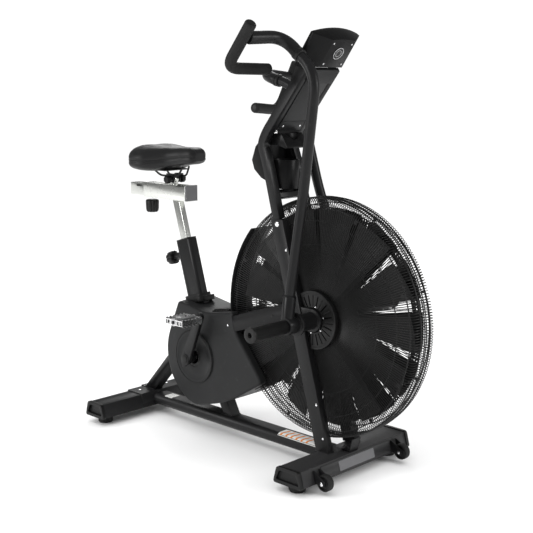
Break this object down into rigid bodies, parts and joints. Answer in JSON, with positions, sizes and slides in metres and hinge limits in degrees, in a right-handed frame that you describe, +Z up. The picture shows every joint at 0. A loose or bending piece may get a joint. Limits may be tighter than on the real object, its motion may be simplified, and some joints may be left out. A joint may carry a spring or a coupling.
{
  "type": "air bike",
  "caption": "Fan-braked exercise bike with swinging handle arms, pedals, padded saddle on an adjustable post, wire fan cage and a console on a mast.",
  "frame": {"origin": "on the floor, below the middle of the bounding box", "axes": "+X forward towards the fan, +Y to the rider's left, +Z up"},
  "size_m": [1.308, 0.676, 1.3755],
  "materials": {
    "frame_paint": "satin black powder coat with a fine texture",
    "shroud_plastic": "satin dark grey moulded plastic",
    "black_plastic": "matt black moulded plastic",
    "fan_plastic": "satin black",
    "rubber": "matt",
    "grip_foam": "matt closed-cell foam",
    "saddle_vinyl": "grained vinyl",
    "chrome": "plated and polished, lightly brushed",
    "steel": "machined",
    "aluminium": "satin",
    "screen": "gloss",
    "button_plastic": "satin"
  },
  "bodies": {
    "frame": {"main_beam": "frame_paint", "rear_stabilizer": "frame_paint", "front_stabilizer": "frame_paint", "stabilizer_end_caps": "black_plastic", "foot_pads": "rubber", "front_brackets": "frame_paint", "seat_tube": "frame_paint", "seat_tube_trim": "black_plastic", "side_beams": "frame_paint", "uprights": "frame_paint", "mast_tubes": "frame_paint", "mast_panel": "shroud_plastic", "mast_fairing": "shroud_plastic", "bottle_holder": "shroud_plastic", "console_housing": "shroud_plastic", "console_bezel": "shroud_plastic", "console_screen": "screen", "cage_face_right": "frame_paint", "cage_face_left": "frame_paint", "cage_rim": "frame_paint", "wind_guard": "shroud_plastic", "hub_vent_discs": "shroud_plastic", "fan_axle": "steel", "belt_cover": "shroud_plastic", "drive_belt": "rubber", "crank_shell": "steel", "shroud_right": "shroud_plastic", "shroud_left": "shroud_plastic", "shroud_top_cover": "shroud_plastic", "disc_covers": "shroud_plastic", "foot_pegs": "rubber", "frame_bolts": "chrome"},
    "fan": {"fan_hub": "aluminium", "fan_paddles": "fan_plastic", "fan_rim_plates": "fan_plastic"},
    "crank": {"drive_pulley": "aluminium", "crank_axle": "steel", "crank_arms": "frame_paint"},
    "right_pedal": {"pedal_right": "aluminium"},
    "left_pedal": {"pedal_left": "aluminium"},
    "right_arm": {"arm_hub_right": "frame_paint", "arm_tube_right": "frame_paint", "arm_grip_right": "grip_foam"},
    "left_arm": {"arm_hub_left": "frame_paint", "arm_tube_left": "frame_paint", "arm_grip_left": "grip_foam"},
    "post": {"seat_post": "chrome", "seat_rail": "chrome"},
    "slider": {"slide_bar": "chrome"},
    "saddle": {"saddle_clamp": "frame_paint", "saddle_base": "frame_paint", "saddle_cushion": "saddle_vinyl"},
    "clamp_knob_pair": {"clamp_knobs": "black_plastic"},
    "rail_knob_body": {"rail_knob": "black_plastic"},
    "height_pin": {"height_knob": "black_plastic"},
    "right_wheel": {"transport_wheel_right": "black_plastic"},
    "left_wheel": {"transport_wheel_left": "black_plastic"},
    "left_key": {"button_left": "button_plastic"},
    "middle_key": {"button_middle": "button_plastic"},
    "right_key": {"button_right": "button_plastic"}
  },
  "joints": [
    {"name": "fan_spin", "type": "hinge", "parent": "frame", "child": "fan", "pos_m": [0.278, 0, 0.483], "axis": [0, 1, 0], "continuous": true},
    {"name": "crank_spin", "type": "hinge", "parent": "frame", "child": "crank", "pos_m": [-0.25, 0, 0.272], "axis": [0, 1, 0], "continuous": true},
    {"name": "right_pedal_spin", "type": "hinge", "parent": "crank", "child": "right_pedal", "pos_m": [-0.18004, -0.188, 0.42913], "axis": [0, 1, 0], "continuous": true},
    {"name": "left_pedal_spin", "type": "hinge", "parent": "crank", "child": "left_pedal", "pos_m": [-0.31996, 0.188, 0.11487], "axis": [0, 1, 0], "continuous": true},
    {"name": "right_arm_swing", "type": "hinge", "parent": "frame", "child": "right_arm", "pos_m": [0.278, -0.171, 0.483], "axis": [0, 1, 0], "range_deg": [-26, 1.6]},
    {"name": "left_arm_swing", "type": "hinge", "parent": "frame", "child": "left_arm", "pos_m": [0.278, 0.171, 0.483], "axis": [0, 1, 0], "range_deg": [-1.6, 26]},
    {"name": "seat_height", "type": "slide", "parent": "frame", "child": "post", "axis": [-0.2857, 0, 0.9583], "range_m": [-0.115, 0.1]},
    {"name": "saddle_fore_aft", "type": "slide", "parent": "post", "child": "slider", "axis": [1, 0, 0], "range_m": [-0.04, 0.03]},
    {"name": "saddle_tilt", "type": "hinge", "parent": "slider", "child": "saddle", "pos_m": [-0.432, 0, 0.866], "axis": [0, 1, 0], "range_deg": [-10, 10]},
    {"name": "saddle_clamp_turn", "type": "hinge", "parent": "slider", "child": "clamp_knob_pair", "pos_m": [-0.432, 0, 0.866], "axis": [0, 1, 0], "range_deg": [-180, 180]},
    {"name": "rail_knob_turn", "type": "hinge", "parent": "post", "child": "rail_knob_body", "pos_m": [-0.558, 0, 0.77], "axis": [0, 0, 1], "range_deg": [-180, 180]},
    {"name": "height_pin_pull", "type": "slide", "parent": "frame", "child": "height_pin", "axis": [-0.9583, 0, -0.2857], "range_m": [0, 0.01], "stiffness_N_per_m": 500, "springref_m": -0.002},
    {"name": "right_wheel_roll", "type": "hinge", "parent": "frame", "child": "right_wheel", "pos_m": [0.44, -0.186, 0.038], "axis": [0, 1, 0], "continuous": true},
    {"name": "left_wheel_roll", "type": "hinge", "parent": "frame", "child": "left_wheel", "pos_m": [0.44, 0.186, 0.038], "axis": [0, 1, 0], "continuous": true},
    {"name": "left_key_press", "type": "slide", "parent": "frame", "child": "left_key", "axis": [0.809, 0, -0.5878], "range_m": [0, 0.0015], "stiffness_N_per_m": 400},
    {"name": "middle_key_press", "type": "slide", "parent": "frame", "child": "middle_key", "axis": [0.809, 0, -0.5878], "range_m": [0, 0.0015], "stiffness_N_per_m": 400},
    {"name": "right_key_press", "type": "slide", "parent": "frame", "child": "right_key", "axis": [0.809, 0, -0.5878], "range_m": [0, 0.0015], "stiffness_N_per_m": 400}
  ],
  "couplings": [
    {"joint": "crank_spin", "follows": "fan_spin", "ratio": 0.25},
    {"joint": "left_arm_swing", "follows": "right_arm_swing", "ratio": -1}
  ]
}
